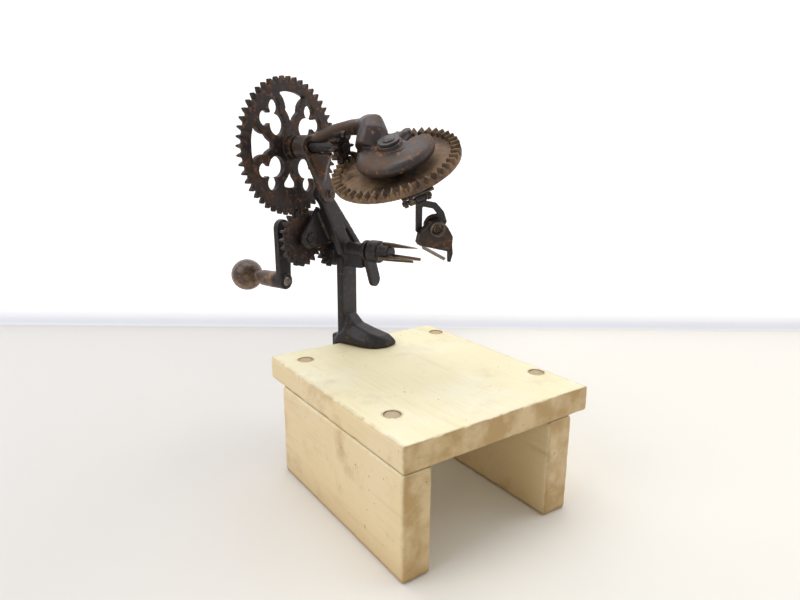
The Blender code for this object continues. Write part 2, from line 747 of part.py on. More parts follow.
def make_crank(crank_axis, grip_axis):
    towards = math.atan2(crank_axis.location.z - AXLE_REACH, crank_axis.location.y)
    phase = meshing_phase(WHEEL_TEETH, 0, CRANK_TEETH, towards)
    low, high = GEAR_X - GEAR_THICK / 2 - GAP, GEAR_X + GEAR_THICK / 2 + GAP
    across = dict(parent=crank_axis, turn=ACROSS)
    gear = piece("crank_gear", spur(CRANK_TEETH, phase, low, high), crank_axis, RUST, turn=ACROSS)
    bore = SHAFT_RADIUS + GAP
    cut(gear, helper(drum(bore, low - 5 * MM, high + 5 * MM), **across))
    start = CRANK_ARM_X[0] - GAP
    profile = [
        (0, EAR_X[1]),
        (SHAFT_RADIUS, EAR_X[1]),
        (SHAFT_RADIUS, start),
        (SHAFT_HEAD, start),
        (SHAFT_HEAD * 0.6, start - 2.4 * MM),
        (0, start - 2.4 * MM),
    ]
    piece("crank_shaft", turned(profile), crank_axis, IRON, turn=ACROSS)
    end = (grip_axis.location.y, grip_axis.location.z)
    heel = polar(-CRANK_HEEL, math.atan2(end[1], end[0]))
    outline = link_outline(heel, CRANK_EYE, end, CRANK_EYE * 0.86)
    arm = piece("crank_arm", plate(outline, *CRANK_ARM_X), crank_axis, IRON, turn=ACROSS)
    join(arm, helper(drum(CRANK_EYE * 0.95, CRANK_BOSS_X, CRANK_ARM_X[1] + 0.8 * MM), grip_axis, turn=ACROSS))
    cut(
        arm,
        helper(drum(bore, -60 * MM, 0), **across),
        helper(drum(SPINDLE_RADIUS + GAP, -60 * MM, 0), grip_axis, turn=ACROSS),
    )
    rim = CRANK_ARM_X[1] + 0.8 * MM + GAP
    collar = CRANK_BOSS_X - GAP
    ball = collar - COLLAR_LENGTH - NECK_LENGTH - math.sqrt(KNOB_RADIUS**2 - KNOB_NECK**2)
    spindle = [
        (0, rim + 1.8 * MM),
        (SPINDLE_RADIUS * 1.3, rim + 1.5 * MM),
        (SPINDLE_RADIUS * 1.7, rim),
        (SPINDLE_RADIUS, rim),
        (SPINDLE_RADIUS, ball),
        (0, ball),
    ]
    piece("handle_spindle", turned(spindle, SMALL_ROUND), grip_axis, STEEL, turn=ACROSS)
    bore = SPINDLE_RADIUS + GAP
    start = math.asin(KNOB_NECK / KNOB_RADIUS)
    round_part = [
        (KNOB_RADIUS * math.sin(a), ball + KNOB_RADIUS * math.cos(a))
        for a in [start + (math.pi - start) * i / 12 for i in range(12)]
    ]
    knob = (
        [(bore, ball - GAP), (bore, collar), (KNOB_COLLAR * 0.86, collar), (KNOB_COLLAR, collar - 2 * MM)]
        + [(KNOB_COLLAR * 0.96, collar - COLLAR_LENGTH + 2 * MM), (KNOB_NECK, collar - COLLAR_LENGTH)]
        + round_part
        + [(0, ball - KNOB_RADIUS)]
    )
    piece("crank_knob", turned([(0, ball - GAP)] + knob), grip_axis, VARNISH, turn=ACROSS)


def make_fork(fork_axis, lever_axis, crank_phase):
    crank_y, crank_z = crank_place()
    towards = math.atan2(-crank_z, -crank_y)
    phase = meshing_phase(CRANK_TEETH, crank_phase, FORK_TEETH, towards)
    low, high = GEAR_X - GEAR_THICK / 2 - GAP, GEAR_X + GEAR_THICK / 2 + GAP
    across = dict(parent=fork_axis, turn=ACROSS)
    pinion = piece("fork_pinion", spur(FORK_TEETH, phase, low, high), fork_axis, RUST, turn=ACROSS)
    bore = SHAFT_RADIUS + GAP
    cut(pinion, helper(drum(bore, low - 5 * MM, high + 5 * MM), **across))
    shaft = [
        (0, FLANGE_X[1] - 1 * MM),
        (SHAFT_RADIUS, FLANGE_X[1] - 1 * MM),
        (SHAFT_RADIUS, low - GAP),
        (SHAFT_HEAD, low - GAP),
        (SHAFT_HEAD * 0.6, low - 3 * MM),
        (0, low - 3 * MM),
    ]
    piece("fork_shaft", turned(shaft), fork_axis, IRON, turn=ACROSS)
    hub = [
        (0, HEAD_END),
        (HEAD_RADIUS * 0.86, HEAD_END),
        (HEAD_RADIUS, HEAD_END - 1 * MM),
        (HEAD_RADIUS, FLANGE_X[1]),
        (FLANGE_RADIUS * 0.92, FLANGE_X[1]),
        (FLANGE_RADIUS, FLANGE_X[1] - 1 * MM),
        (FLANGE_RADIUS, FLANGE_X[0] + 1 * MM),
        (FLANGE_RADIUS * 0.92, FLANGE_X[0]),
        (bore, FLANGE_X[0]),
        (bore, FLANGE_X[1] - 1 * MM + GAP),
        (0, FLANGE_X[1] - 1 * MM + GAP),
    ]
    head = piece("fork_head", turned(hub), fork_axis, IRON, turn=ACROSS)
    root = FLANGE_X[1] + 2.5 * MM
    low, high = PRONG_RADII
    middle = (low + high) / 2
    prong = [
        (root, low),
        (PRONG_TIP - 10 * MM, middle - 0.9 * MM),
        (PRONG_TIP, middle - 0.2 * MM),
        (PRONG_TIP, middle + 0.2 * MM),
        (PRONG_TIP - 12 * MM, middle + 1.2 * MM),
        (HEAD_END + 1 * MM, high),
        (root, high),
    ]
    for name, angle in zip(("upper_prong", "near_prong", "far_prong"), PRONG_ANGLES):
        turn = (angle, 0, 0)
        start, side = (root - GAP, low - GAP), PRONG_THICK / 2 + GAP
        slot = block((start[0], start[1], -side), (HEAD_END + 5 * MM, high + 5 * MM, side))
        cut(head, helper(slot, fork_axis, turn=turn))
        piece(name, plate(prong, -PRONG_THICK / 2, PRONG_THICK / 2), fork_axis, STEEL, turn=turn)
    end = polar(LEVER_LENGTH, LEVER_ANGLE)
    outline = link_outline((0, 0), LEVER_WIDTH / 2, end, LEVER_WIDTH / 2)
    lever = piece("push_off_lever", plate(outline, *LEVER_X), lever_axis, IRON, turn=ACROSS)
    eye = drum(LEVER_EYE, LEVER_X[0] + 0.1 * MM, LEVER_X[1] - 0.1 * MM)
    join(lever, helper(eye, lever_axis, turn=ACROSS))
    cut(lever, helper(drum(TUBE_RADIUS + GAP, 0, 60 * MM), lever_axis, turn=ACROSS))


def crown_teeth():
    """The crown's teeth: straight ridges along the radii, wider at the rim."""
    bm = bmesh.new()
    middle = math.pi / TURN_TEETH * CROWN_PITCH_RADIUS / 2 - CROWN_THIN / 2
    for i in range(TURN_TEETH):
        tooth = bmesh.ops.create_cube(bm, size=1)["verts"]
        for vertex in tooth:
            outer = vertex.co.x > 0
            high = vertex.co.z > 0
            radius = TURN_RADIUS - 0.05 * MM if outer else CROWN_INNER
            drop = 0 if high else CROWN_DEPTH + 0.6 * MM
            half = (middle + (drop - CROWN_ADDENDUM) * math.tan(CROWN_SLOPE)) * radius / CROWN_PITCH_RADIUS
            vertex.co = (radius, math.copysign(half, vertex.co.y), -drop)
        angle = math.pi + math.tau * (i + 0.5) / TURN_TEETH
        bmesh.ops.rotate(bm, verts=tooth, cent=(0, 0, 0), matrix=Matrix.Rotation(angle, 3, "Z"))
    return mesh_of(bm)


def make_turntable(turn_axis, knife):
    under = -CROWN_DEPTH - TURN_THICK
    disc = piece("turntable", drum(TURN_RADIUS, under, -CROWN_DEPTH, 88), turn_axis, RUST)
    join(disc, helper(crown_teeth(), turn_axis))
    cut(disc, helper(drum(PIVOT_RADIUS + GAP, under - 5 * MM, 5 * MM), turn_axis))
    make_knife_bracket(knife, under)


def make_knife_bracket(knife, under):
    """The strip under the rim whose lugs hold the knife arm's hinge pin."""
    reach, drop = KNIFE_REACH, HINGE_DROP
    bracket = piece(
        "knife_bracket",
        block(
            (reach - 4 * MM, -10 * MM, under - GAP - 1.4 * MM),
            (reach + 2 * MM, 13 * MM, under - GAP),
            0.3 * MM,
        ),
        knife,
        STEEL,
    )
    lug = link_outline((0, 0), LUG_RADIUS, (0, drop + under - 4 * MM), LUG_RADIUS - 0.4 * MM)
    along = (math.pi / 2, 0, 0)
    for start in (-9.5 * MM, 7 * MM):
        join(bracket, helper(plate(lug, start, start + 2.5 * MM), knife, (reach, 0, -drop), along))
    cut(bracket, helper(drum(PIN_RADIUS + GAP, -40 * MM, 40 * MM), knife, (reach, 0, -drop), along))
    pin = piece("knife_hinge_pin", drum(PIN_RADIUS, -10.5 * MM, 10.5 * MM, SMALL_ROUND), knife, STEEL)
    pin.location = (reach, 0, -drop)
    pin.rotation_euler = along


def strip_outline(points, width):
    """A strip of this width along a row of points."""
    left, right = [], []
    for i, (x, y) in enumerate(points):
        before, after = points[max(i - 1, 0)], points[min(i + 1, len(points) - 1)]
        along = Vector((after[0] - before[0], after[1] - before[1])).normalized()
        left.append((x - along.y * width / 2, y + along.x * width / 2))
        right.append((x + along.y * width / 2, y - along.x * width / 2))
    return left + right[::-1]


def make_knife_arm(arm_axis):
    """The swinging arm: an eye on the pin, a straight and a bowed strip, and the head's boss."""
    half = STRIP_THICK / 2
    across = dict(turn=ACROSS)
    eye = drum(LUG_RADIUS - 0.3 * MM, -6.6 * MM, 1 * MM)
    arm = piece("knife_arm", eye, arm_axis, IRON, turn=(math.pi / 2, 0, 0))
    pivot_y, pivot_z = HEAD_PIVOT[0], HEAD_PIVOT[1] + HINGE_DROP
    strip = [(1.5 * MM, 0), (-1 * MM, -9 * MM), (-5 * MM, -23 * MM), (-1 * MM, -27 * MM)]
    straight = strip_outline(strip, STRIP_WIDTH)
    bow = [(3.6 * MM, -0.5 * MM), (4 * MM, -5 * MM), (10.5 * MM, -9.5 * MM), (13.4 * MM, -17 * MM)]
    bow += [(13.6 * MM, -24 * MM), (10 * MM, -28 * MM)]
    join(
        arm,
        helper(plate(straight, -half, half), arm_axis, **across),
        helper(plate(strip_outline(bow, STRIP_WIDTH), -half + 0.1 * MM, half - 0.1 * MM), arm_axis, **across),
        helper(drum(HEAD_BOSS, -half - 0.1 * MM, half + 0.1 * MM), arm_axis, (0, pivot_y, pivot_z), ACROSS),
    )
    cut(
        arm,
        helper(drum(PIN_RADIUS + GAP, -20 * MM, 20 * MM), arm_axis, turn=(math.pi / 2, 0, 0)),
        helper(drum(HEAD_RIVET + GAP, -9 * MM, 9 * MM), arm_axis, (0, pivot_y, pivot_z), ACROSS),
    )
    spring = coil(PIN_RADIUS + GAP + WIRE_RADIUS, WIRE_RADIUS, 1.35 * MM, 2.75)
    piece("arm_spring", spring, arm_axis, STEEL, (0, -2 * MM, 0), (math.pi / 2, 0, 0))


def make_knife_head(head_axis):
    """The floating head: hood, guard, blade, its rivet and spring. Its own origin is the rivet."""
    near = STRIP_THICK / 2 + 0.1 * MM + GAP
    far = near + HOOD_THICK
    hood = [
        (-4 * MM, 5 * MM),
        (-13 * MM, 0),
        (-16.5 * MM, -6.5 * MM),
        (-15 * MM, -8.6 * MM),
        (3 * MM, -22 * MM),
        (7.5 * MM, -18 * MM),
        (9.5 * MM, -12 * MM),
        (8 * MM, -4 * MM),
        (4 * MM, 4 * MM),
    ]
    holder = piece("knife_holder", plate(hood, near, far), head_axis, RUST, turn=ACROSS)
    middle = (near + far) / 2
    guard = [
        (4.6 * MM, -17 * MM),
        (8.4 * MM, -15.5 * MM),
        (6.6 * MM, -26 * MM),
        (3.4 * MM, -32.5 * MM),
        (1.2 * MM, -31.5 * MM),
    ]
    cut(
        holder,
        helper(drum(HEAD_RIVET + GAP, -9 * MM, 20 * MM), head_axis, turn=ACROSS),
        helper(
            plate([(2.6 * MM, -30 * MM), (2.6 * MM, -14 * MM), (20 * MM, -14 * MM), (20 * MM, -30 * MM)],
                  middle - 1.1 * MM - GAP, middle + 1.1 * MM + GAP),
            head_axis,
            turn=ACROSS,
        ),
    )
    piece("knife_guard", plate(guard, middle - 1.1 * MM, middle + 1.1 * MM), head_axis, RUST, turn=ACROSS)
    tab = [(-14 * MM, -18 * MM), (-14 * MM, -3.4 * MM), (-10.6 * MM, -3.4 * MM), (-10.6 * MM, -18 * MM)]
    side = BLADE_THICK / 2 + GAP
    cut(holder, helper(plate(tab, middle - side, middle + side), head_axis, turn=ACROSS))
    edge = [(-12.4 * MM, -4 * MM), (-12.4 * MM, -12.6 * MM), (-0.2 * MM, -28.6 * MM)]
    blade = strip_outline(edge, BLADE_WIDTH)
    piece("knife_blade", plate(blade, middle - BLADE_THICK / 2, middle + BLADE_THICK / 2), head_axis, STEEL,
          turn=ACROSS)
    back = -STRIP_THICK / 2 - 0.1 * MM - GAP
    rivet = [
        (0, far + 2 * MM),
        (2.6 * MM, far + 1.6 * MM),
        (3.4 * MM, far + GAP),
        (HEAD_RIVET, far + GAP),
        (HEAD_RIVET, back),
        (3.4 * MM, back),
        (3 * MM, back - 1.4 * MM),
        (0, back - 1.4 * MM),
    ]
    piece("head_rivet", turned(rivet, SMALL_ROUND), head_axis, STEEL, turn=ACROSS)
    turns = coil(4.8 * MM, WIRE_RADIUS, 1.3 * MM, 2)
    piece("head_spring", turns, head_axis, STEEL, (far + GAP + WIRE_RADIUS, 0, 0),
          (0, math.pi / 2, 0))


def make_clamp(pad_axis):
    """The screw and pad that pull the jaw against the underside of the board. Origin: the pad's face."""
    top = -GAP
    piece("swivel_pad", drum(PAD_RADIUS, top - PAD_THICK, top), pad_axis, IRON)
    shank_top = top - PAD_THICK - GAP
    wing_top = -CLAMP_OPENING - JAW_THICK - 5 * MM
    screw = piece("clamp_screw", drum(SCREW_RADIUS, wing_top - 1 * MM, shank_top), pad_axis, IRON)
    wing = block(
        (-WING_SPAN / 2, -WING_THICK / 2, wing_top - WING_HEIGHT),
        (WING_SPAN / 2, WING_THICK / 2, wing_top),
        1.5 * MM,
    )
    join(screw, helper(wing, pad_axis))


def rest_on_origin(stand):
    """Moves everything so that the middle of the whole object's underside is the origin."""
    bpy.context.view_layer.update()
    graph = bpy.context.evaluated_depsgraph_get()
    corners = []
    for obj in PARTS.objects:
        shape = obj.evaluated_get(graph)
        corners += [obj.matrix_world @ vertex.co for vertex in shape.data.vertices]
    low = [min(corner[i] for corner in corners) for i in range(3)]
    high = [max(corner[i] for corner in corners) for i in range(3)]
    stand.location = (-(low[0] + high[0]) / 2, -(low[1] + high[1]) / 2, -low[2])


def main():
    stand = empty("stand_frame", None)
    board_top = LEG_HEIGHT + BOARD_THICK
    machine = empty(
        "machine_frame",
        stand,
        (POST_FROM_LEFT, BOARD_DEPTH + POST_BEHIND_BOARD, board_top),
        (0, 0, MACHINE_TURN),
    )
    train = empty("train_frame", machine, (0, 0, FORK_HEIGHT), (LEAN, 0, 0))
    wheel_axis = empty("wheel_axis", train, (0, 0, AXLE_REACH))
    crank_y, crank_z = crank_place()
    crank_axis = empty("crank_axis", train, (0, crank_y, crank_z))
    hanging = -math.pi / 2 - LEAN
    grip_axis = empty("grip_axis", crank_axis, (0, *polar(CRANK_LENGTH, hanging)))
    fork_axis = empty("fork_axis", train)
    lever_axis = empty("lever_axis", train)
    tooth_tops = AXLE_REACH - CROWN_PITCH_RADIUS * PINION_TEETH / TURN_TEETH + CROWN_ADDENDUM
    pivot = empty("pivot", train, (TURN_X, 0, tooth_tops))
    turn_axis = empty("turn_axis", pivot)
    knife = empty("knife_frame", turn_axis, (0, 0, 0), (0, 0, KNIFE_ANGLE))
    arm_axis = empty("arm_axis", knife, (KNIFE_REACH, 0, -HINGE_DROP))
    head_axis = empty("head_axis", arm_axis, (0, HEAD_PIVOT[0], HEAD_PIVOT[1] + HINGE_DROP))
    pad_axis = empty("pad_axis", machine, (CLAMP_REACH, 0, -BOARD_THICK))

    make_stand(stand)
    make_main_frame(machine, train)
    make_over_arm(train, pivot)
    make_pivot(pivot)
    make_wheel(wheel_axis)
    make_crank(crank_axis, grip_axis)
    towards = math.atan2(crank_z - AXLE_REACH, crank_y)
    make_fork(fork_axis, lever_axis, meshing_phase(WHEEL_TEETH, 0, CRANK_TEETH, towards))
    make_turntable(turn_axis, knife)
    make_knife_arm(arm_axis)
    make_knife_head(head_axis)
    make_clamp(pad_axis)
    rest_on_origin(stand)


clear_scene()
PARTS = new_collection("turntable_parer")
FRAMES = new_collection("frames")
CUTTERS = new_collection("cutters")
main()
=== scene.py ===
"""Dresses a hand-cranked fruit parer on its painted wooden stand, and sets up a plain studio.

Every size is in metres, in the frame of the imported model.
"""

import json
import logging
import math
from dataclasses import dataclass, field
from enum import Enum

import bmesh
import bpy
from mathutils import Matrix, Vector, noise


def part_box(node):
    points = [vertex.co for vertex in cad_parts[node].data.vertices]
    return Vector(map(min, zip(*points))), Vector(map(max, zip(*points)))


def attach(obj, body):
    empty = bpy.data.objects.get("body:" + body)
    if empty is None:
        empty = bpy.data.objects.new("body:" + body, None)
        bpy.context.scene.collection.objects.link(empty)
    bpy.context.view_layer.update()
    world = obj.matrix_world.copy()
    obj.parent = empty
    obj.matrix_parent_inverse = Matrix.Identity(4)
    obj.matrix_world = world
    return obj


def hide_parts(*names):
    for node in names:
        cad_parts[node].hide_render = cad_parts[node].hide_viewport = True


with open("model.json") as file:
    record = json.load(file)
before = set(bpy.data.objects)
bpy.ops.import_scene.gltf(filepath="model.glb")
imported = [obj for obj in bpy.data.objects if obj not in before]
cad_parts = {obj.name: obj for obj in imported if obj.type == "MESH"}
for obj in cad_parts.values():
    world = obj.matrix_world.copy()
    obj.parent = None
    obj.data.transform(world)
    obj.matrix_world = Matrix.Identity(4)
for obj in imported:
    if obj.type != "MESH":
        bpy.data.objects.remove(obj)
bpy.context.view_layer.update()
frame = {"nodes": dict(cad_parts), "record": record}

LOG = logging.getLogger("parer")
MM = 0.001
GRIP_TURN = math.radians(69.2)  # brings the handle's grain along its own axis
Colour = tuple[float, float, float]


class Body(Enum):
    """The rigid bodies that pieces ride on."""

    BASE = "base"
    WHEEL = "wheel"
    CRANK = "crank"
    KNOB = "knob"
    FORK = "fork"
    LEVER = "lever"
    TABLE = "table"
    KNIFE_SWING = "knife_swing"
    KNIFE_HEAD = "knife_head"
    SCREW = "screw"


class Slot(Enum):
    """The record's material slots."""

    PAINT = "cream_painted_wood"
    PLUG = "grey_filler_plug"
    VARNISH = "varnished_wood"
    DARK_IRON = "dark_cast_iron"
    RUSTY_IRON = "rusty_cast_iron"
    STEEL = "worn_steel"


class GroupKit:
    """Builds a node tree by short calls."""

    def __init__(self, tree: bpy.types.NodeTree) -> None:
        """Keeps the tree that nodes are added to."""
        self.tree = tree

    def node(self, kind: str, inputs: dict | None = None, **settings: object) -> bpy.types.Node:
        """Adds a node.

        Args:
            kind: the node's type name.
            inputs: its input sockets, by name or number, each a value or a socket to link from.
            settings: the node's own properties.

        Returns:
            The new node.
        """
        made = self.tree.nodes.new(kind)
        for name, value in settings.items():
            setattr(made, name, value)
        for name, value in (inputs or {}).items():
            if isinstance(value, bpy.types.NodeSocket):
                self.tree.links.new(value, made.inputs[name])
            else:
                made.inputs[name].default_value = value
        return made

    def noise(self, vector: bpy.types.NodeSocket, scale: object, detail: float = 4.0) -> bpy.types.NodeSocket:
        """Adds a noise texture and returns its value socket."""
        inputs = {"Vector": vector, "Scale": scale, "Detail": detail, "Roughness": 0.6}
        return self.node("ShaderNodeTexNoise", inputs).outputs["Fac"]

    def step(self, value: object, low: object, high: object) -> bpy.types.NodeSocket:
        """Adds a smooth step from 0 at low to 1 at high and returns its socket."""
        inputs = {"Value": value, "From Min": low, "From Max": high}
        return self.node("ShaderNodeMapRange", inputs, interpolation_type="SMOOTHSTEP").outputs["Result"]

    def math(self, operation: str, first: object, second: object = 0.0) -> bpy.types.NodeSocket:
        """Adds a math node and returns its socket."""
        return self.node("ShaderNodeMath", {0: first, 1: second}, operation=operation).outputs[0]

    def mix(self, share: object, first: object, second: object) -> bpy.types.NodeSocket:
        """Adds a colour mix and returns its socket."""
        made = self.node("ShaderNodeMix", {"Factor": share}, data_type="RGBA")
        for socket, value in ((made.inputs[6], first), (made.inputs[7], second)):
            if isinstance(value, bpy.types.NodeSocket):
                self.tree.links.new(value, socket)
            else:
                socket.default_value = (*value, 1.0)
        return made.outputs[2]


class SharedEffects:
    """The shader node groups that several finishes use, each built once."""

    def __init__(self) -> None:
        """Starts with nothing built."""
        self._made: dict[str, bpy.types.NodeTree] = {}

    def _new(self, name: str, inputs: dict[str, float], outputs: tuple[str, ...]) -> GroupKit:
        """Starts a group with these sockets."""
        tree = bpy.data.node_groups.new(name, "ShaderNodeTree")
        for label, value in inputs.items():
            socket = tree.interface.new_socket(label, in_out="INPUT", socket_type="NodeSocketFloat")
            socket.default_value = value
        for label in outputs:
            tree.interface.new_socket(label, in_out="OUTPUT", socket_type="NodeSocketFloat")
        self._made[name] = tree
        return GroupKit(tree)

    def edge_wear(self) -> bpy.types.NodeTree:
        """A mask that is 1 on outer edges, broken up by noise."""
        if "edge wear" not in self._made:
            kit = self._new("edge wear", {"Radius": 0.6 * MM, "Contrast": 5.0, "Breakup": 300.0}, ("Mask",))
            given = kit.node("NodeGroupInput").outputs
            where = kit.node("ShaderNodeTexCoord").outputs["Object"]
            rounded = kit.node("ShaderNodeBevel", {"Radius": given["Radius"]}, samples=4).outputs[0]
            flat = kit.node("ShaderNodeNewGeometry").outputs["Normal"]
            both = kit.node("ShaderNodeVectorMath", {0: rounded, 1: flat}, operation="DOT_PRODUCT")
            bent = kit.math("SUBTRACT", 1.0, both.outputs["Value"])
            edge = kit.math("MULTIPLY", bent, given["Contrast"])
            broken = kit.step(kit.noise(where, given["Breakup"]), 0.3, 0.62)
            mask = kit.step(kit.math("MULTIPLY", edge, broken), 0.05, 0.6)
            kit.node("NodeGroupOutput", {"Mask": mask})
        return self._made["edge wear"]

    def patches(self) -> bpy.types.NodeTree:
        """Large soft patches, small spots and a grain height."""
        if "patches" not in self._made:
            inputs = {"Patch Scale": 60.0, "Spot Scale": 260.0, "Grain Scale": 900.0, "Cover": 0.5}
            kit = self._new("patches", inputs, ("Patches", "Spots", "Height"))
            given = kit.node("NodeGroupInput").outputs
            where = kit.node("ShaderNodeTexCoord").outputs["Object"]
            large = kit.noise(where, given["Patch Scale"], 6.0)
            edge = kit.math("SUBTRACT", 1.0, given["Cover"])
            high = kit.math("ADD", edge, 0.16)
            small = kit.noise(where, given["Spot Scale"], 5.0)
            both = kit.math("ADD", kit.math("MULTIPLY", large, 0.65), kit.math("MULTIPLY", small, 0.35))
            patches = kit.step(both, edge, high)
            spots = kit.step(small, 0.56, 0.7)
            grain = kit.noise(where, given["Grain Scale"], 3.0)
            height = kit.math("ADD", kit.math("MULTIPLY", grain, 0.5), kit.math("MULTIPLY", small, 0.5))
            kit.node("NodeGroupOutput", {"Patches": patches, "Spots": spots, "Height": height})
        return self._made["patches"]


EFFECTS = SharedEffects()


@dataclass(frozen=True)
class IronFinish:
    """Old cast iron: a dark skin, brown patches, rust spots and rubbed edges."""

    name: str
    skin: Colour = (0.038, 0.035, 0.038)
    brown: Colour = (0.070, 0.050, 0.042)
    rust: Colour = (0.24, 0.098, 0.042)
    edge: Colour = (0.3, 0.24, 0.195)
    patch_scale: float = 45.0
    cover: float = 0.5
    rust_share: float = 0.5
    edge_share: float = 0.6
    edge_radius: float = 0.7 * MM
    roughness: tuple[float, float] = (0.42, 0.8)
    metallic: float = 0.65
    bump: float = 0.22

    def material(self) -> bpy.types.Material:
        """Builds the material."""
        made, kit, shader = new_material(self.name)
        patches = kit.node("ShaderNodeGroup", node_tree=EFFECTS.patches())
        scales = {"Patch Scale": self.patch_scale, "Spot Scale": 240.0, "Grain Scale": 1100.0}
        set_inputs(patches, scales | {"Cover": self.cover})
        wear = kit.node("ShaderNodeGroup", node_tree=EFFECTS.edge_wear())
        set_inputs(wear, {"Radius": self.edge_radius, "Contrast": 6.0, "Breakup": 350.0})
        rusty = kit.math("MULTIPLY", patches.outputs["Spots"], self.rust_share)
        worn = kit.math("MULTIPLY", wear.outputs["Mask"], self.edge_share)
        colour = kit.mix(patches.outputs["Patches"], self.skin, self.brown)
        colour = kit.mix(rusty, colour, self.rust)
        colour = kit.mix(worn, colour, self.edge)
        kit.tree.links.new(colour, shader.inputs["Base Color"])
        low, high = self.roughness
        rough = kit.math("ADD", kit.math("MULTIPLY", patches.outputs["Patches"], (high - low) * 0.6), low)
        rough = kit.math("ADD", rough, kit.math("MULTIPLY", rusty, (high - low) * 0.8))
        rough = kit.math("SUBTRACT", rough, kit.math("MULTIPLY", worn, 0.2))
        kit.tree.links.new(rough, shader.inputs["Roughness"])
        metal = kit.math("SUBTRACT", self.metallic, kit.math("MULTIPLY", rusty, self.metallic))
        kit.tree.links.new(metal, shader.inputs["Metallic"])
        add_bump(kit, shader, patches.outputs["Height"], self.bump)
        return made


@dataclass(frozen=True)
class PaintFinish:
    """Old paint on wood: a warm white coat, tan stains, dark specks, bare wood at worn edges, and painted
    shade on upright and front faces and in hollows.
    """

    name: str
    coat: Colour = (0.90, 0.82, 0.54)
    faded: Colour = (0.93, 0.87, 0.64)
    # side: painted shade, the darker colour that upright faces take on because they catch less light than the
    # top
    side: Colour = (0.76, 0.55, 0.29)
    # front: painted shade, the darker colour of faces that look forward and get less light
    front: Colour = (0.50, 0.33, 0.135)
    # painted shade in hollows, with some dirt along joints
    hollow_shade_and_grime: Colour = (0.46, 0.29, 0.11)
    stain: Colour = (0.52, 0.34, 0.14)
    bare: Colour = (0.34, 0.21, 0.10)
    speck: Colour = (0.12, 0.08, 0.05)
    stain_share: float = 0.7
    edge_share: float = 0.8
    roughness: float = 0.5
    bump: float = 0.12

    def material(self) -> bpy.types.Material:
        """Builds the material."""
        made, kit, shader = new_material(self.name)
        where = kit.node("ShaderNodeTexCoord").outputs["Object"]
        along = kit.node("ShaderNodeMapping", {"Vector": where, "Scale": (1.0, 0.07, 1.0)}).outputs[0]
        grain = kit.noise(along, 420.0, 5.0)
        fade = kit.step(kit.noise(where, 14.0, 3.0), 0.38, 0.66)
        stain = kit.step(kit.noise(where, 26.0, 7.0), 0.52, 0.74)
        drips = kit.step(kit.noise(along, 70.0, 4.0), 0.55, 0.8)
        stains = kit.math("MULTIPLY", kit.math("MAXIMUM", stain, drips), self.stain_share)
        specks = kit.step(kit.noise(where, 330.0, 2.0), 0.72, 0.76)
        wear = kit.node("ShaderNodeGroup", node_tree=EFFECTS.edge_wear())
        set_inputs(wear, {"Radius": 3.2 * MM, "Contrast": 10.0, "Breakup": 160.0})
        worn = kit.math("MULTIPLY", wear.outputs["Mask"], self.edge_share)
        # Painted shade: the side and front masks pick out upright and forward-facing faces so that they can
        # be coloured darker
        upright = kit.node("ShaderNodeSeparateXYZ", {0: kit.node("ShaderNodeNewGeometry").outputs["Normal"]})
        side = kit.step(kit.math("ABSOLUTE", upright.outputs["Z"]), 0.9, 0.3)
        front = kit.step(kit.math("MULTIPLY", upright.outputs["Y"], -1.0), 0.4, 0.9)
        colour = kit.mix(fade, self.coat, self.faded)
        # painted shade on upright faces
        colour = kit.mix(kit.math("MULTIPLY", side, 0.62), colour, self.side)
        # painted shade on forward-facing faces, made patchy by noise
        uneven = kit.step(kit.noise(where, 38.0, 6.0), 0.35, 0.75)
        colour = kit.mix(kit.math("MULTIPLY", front, kit.math("ADD", uneven, 0.35)), colour, self.front)
        colour = kit.mix(kit.math("MULTIPLY", kit.step(grain, 0.45, 0.75), 0.10), colour, self.stain)
        stains = kit.math("MULTIPLY", stains, kit.math("ADD", kit.math("MULTIPLY", side, 0.6), 0.4))
        colour = kit.mix(stains, colour, self.stain)
        # Painted shade: occluded hollows such as the space under the board darken towards a golden brown,
        # which also lays some dirt along joints
        hidden = kit.node("ShaderNodeAmbientOcclusion", {"Distance": 80 * MM}).outputs["AO"]
        colour = kit.mix(kit.step(hidden, 0.75, 0.25), colour, self.hollow_shade_and_grime)
        colour = kit.mix(worn, colour, self.bare)
        colour = kit.mix(kit.math("MULTIPLY", specks, 0.8), colour, self.speck)
        kit.tree.links.new(colour, shader.inputs["Base Color"])
        rough = kit.math("ADD", kit.math("MULTIPLY", stains, 0.25), self.roughness)
        rough = kit.math("ADD", rough, kit.math("MULTIPLY", worn, 0.2))
        kit.tree.links.new(rough, shader.inputs["Roughness"])
        height = kit.math("ADD", grain, kit.math("MULTIPLY", worn, -1.2))
        add_bump(kit, shader, height, self.bump)
        return made


